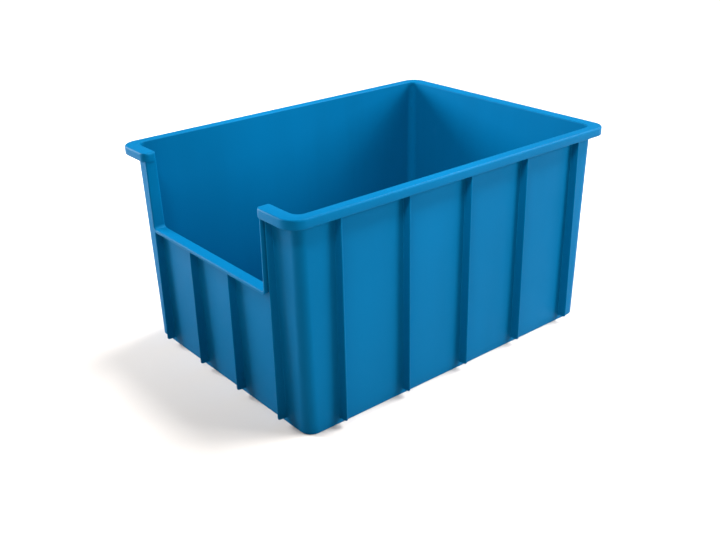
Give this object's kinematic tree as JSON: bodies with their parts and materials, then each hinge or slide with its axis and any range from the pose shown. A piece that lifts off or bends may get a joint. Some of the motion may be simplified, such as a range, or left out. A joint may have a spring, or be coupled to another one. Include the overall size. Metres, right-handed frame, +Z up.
{
  "type": "stacking storage bin",
  "caption": "Open-front stacking storage bin: thin-walled plastic tub with fin ribs, a flat stacking rim and a cut-out front with a flat lip.",
  "frame": {"origin": "under the middle of the bin, on the surface that its floor stands on", "axes": "+Z up; the cut-out front faces -Y; +X is to the right of someone who faces the cut-out"},
  "size_m": [0.438, 0.6, 0.318],
  "materials": {
    "wall_plastic": "satin moulded polypropylene, fine grain",
    "floor_plastic": "satin moulded polypropylene, fine grain",
    "rim_plastic": "satin moulded polypropylene, edges slightly polished",
    "rib_plastic": "satin moulded polypropylene, fine grain"
  },
  "bodies": {
    "root": {"floor_pan": "floor_plastic", "left_wall": "wall_plastic", "right_wall": "wall_plastic", "back_wall": "wall_plastic", "front_wall": "wall_plastic", "front_post_left": "wall_plastic", "front_post_right": "wall_plastic", "back_corner_left": "wall_plastic", "back_corner_right": "wall_plastic", "rim_left": "rim_plastic", "rim_right": "rim_plastic", "rim_back": "rim_plastic", "rim_front_left": "rim_plastic", "rim_front_right": "rim_plastic", "front_lip": "rim_plastic", "opening_flange_left": "rim_plastic", "opening_flange_right": "rim_plastic", "left_rib_1": "rib_plastic", "left_rib_2": "rib_plastic", "left_rib_3": "rib_plastic", "left_rib_4": "rib_plastic", "left_rib_5": "rib_plastic", "right_rib_1": "rib_plastic", "right_rib_2": "rib_plastic", "right_rib_3": "rib_plastic", "right_rib_4": "rib_plastic", "right_rib_5": "rib_plastic", "front_rib_1": "rib_plastic", "front_rib_2": "rib_plastic", "front_rib_3": "rib_plastic", "front_rib_4": "rib_plastic", "back_rib_1": "rib_plastic", "back_rib_2": "rib_plastic", "back_rib_3": "rib_plastic", "back_rib_4": "rib_plastic"}
  },
  "joints": []
}
